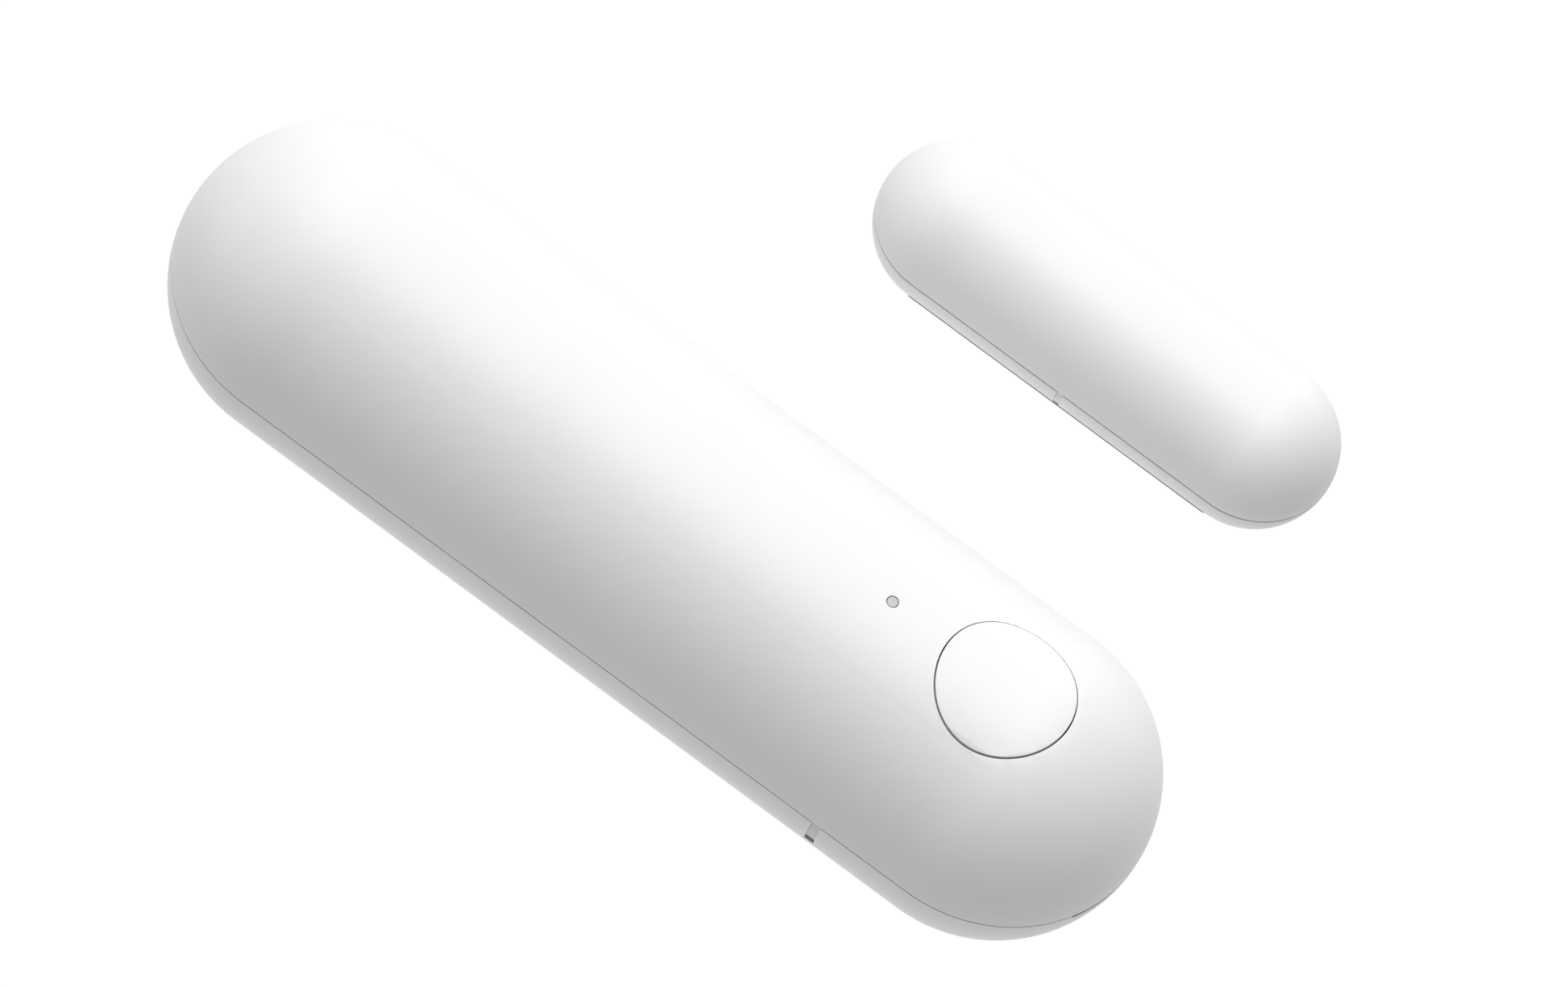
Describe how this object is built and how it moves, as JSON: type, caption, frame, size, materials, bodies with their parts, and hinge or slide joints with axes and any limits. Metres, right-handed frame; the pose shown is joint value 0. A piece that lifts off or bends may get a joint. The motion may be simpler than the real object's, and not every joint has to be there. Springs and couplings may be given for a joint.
{
  "type": "door contact sensor",
  "caption": "Pill-shaped wireless door contact sensor with a press button, status light, cell and reed switch, and a smaller pill-shaped magnet piece beside it.",
  "frame": {"origin": "centre of the sensor's adhesive back face, on the wall plane", "axes": "+X along the sensor towards its button, +Y towards the magnet piece, +Z away from the wall"},
  "size_m": [0.0832, 0.0544, 0.0197],
  "materials": {
    "casing_white": "fine satin moulded white",
    "button_white": "fine satin moulded white",
    "clear_pipe": "milky light guide",
    "foam_tape": "pale foam tape",
    "black_nylon": "fine moulded grain",
    "nickel": "nickel plated",
    "cell_sleeve": "shrink sleeve",
    "cell_steel": "nickel plated can",
    "red_wire": "wire insulation",
    "green_board": "solder resist on glass laminate",
    "blue_board": "solder resist on glass laminate",
    "zinc_screw": "zinc plated",
    "reed_glass": "green tinted sealed tube",
    "tin_can": "tinned",
    "led_white": "ceramic and clear resin",
    "chip_black": "epoxy",
    "ivory_plastic": "moulded",
    "tantalum": "moulded epoxy",
    "chip_ceramic": "fired",
    "gold_trace": "gold flashed copper",
    "magnet_metal": "nickel plated sintered magnet",
    "grey_foam": "closed cell foam"
  },
  "bodies": {
    "sensor": {"sensor_base": "casing_white", "sensor_tape_pad": "foam_tape", "battery_cradle": "black_nylon", "battery_can": "cell_steel", "battery_sleeve": "cell_sleeve", "battery_plate_contact": "nickel", "battery_spring": "nickel", "battery_end_plate": "nickel", "battery_lead": "red_wire", "circuit_board": "green_board", "board_screws": "zinc_screw", "reed_glass": "reed_glass", "reed_blades": "nickel", "status_led": "led_white", "tact_switch_body": "chip_black", "tact_switch_plate": "tin_can", "tamper_switch_body": "chip_black", "radio_board": "blue_board", "radio_shield": "tin_can", "microcontroller": "chip_black", "crystal": "tin_can", "bulk_capacitor": "tantalum", "chip_components": "chip_ceramic", "antenna_trace": "gold_trace"},
    "sensor_lid": {"sensor_cover": "casing_white", "light_pipe": "clear_pipe"},
    "button": {"button_cap": "button_white"},
    "switch_plunger": {"tact_switch_plunger": "black_nylon"},
    "tamper_plunger": {"tamper_switch_plunger": "ivory_plastic"},
    "magnet_piece": {"magnet_base": "casing_white", "bar_magnet": "magnet_metal", "magnet_foam": "grey_foam", "magnet_tape_pad": "foam_tape"},
    "magnet_lid": {"magnet_cover": "casing_white"}
  },
  "joints": [
    {"name": "cover_lift", "type": "slide", "parent": "sensor", "child": "sensor_lid", "axis": [0, 0, 1], "range_m": [0, 0.03]},
    {"name": "button_press", "type": "slide", "parent": "sensor_lid", "child": "button", "axis": [0, 0, -1], "range_m": [0, 0.00035], "stiffness_N_per_m": 800, "springref_m": -0.0004},
    {"name": "switch_press", "type": "slide", "parent": "sensor", "child": "switch_plunger", "axis": [0, 0, -1], "range_m": [0, 0.00035]},
    {"name": "tamper_rise", "type": "slide", "parent": "sensor", "child": "tamper_plunger", "axis": [0, 0, 1], "range_m": [0, 0.0008]},
    {"name": "door_gap", "type": "slide", "parent": "sensor", "child": "magnet_piece", "axis": [0, 1, 0], "range_m": [-0.016, 0.04]},
    {"name": "magnet_cover_lift", "type": "slide", "parent": "magnet_piece", "child": "magnet_lid", "axis": [0, 0, 1], "range_m": [0, 0.015]}
  ],
  "couplings": [
    {"joint": "switch_press", "follows": "button_press", "ratio": 1},
    {"joint": "tamper_rise", "follows": "cover_lift", "ratio": 0.026667}
  ]
}
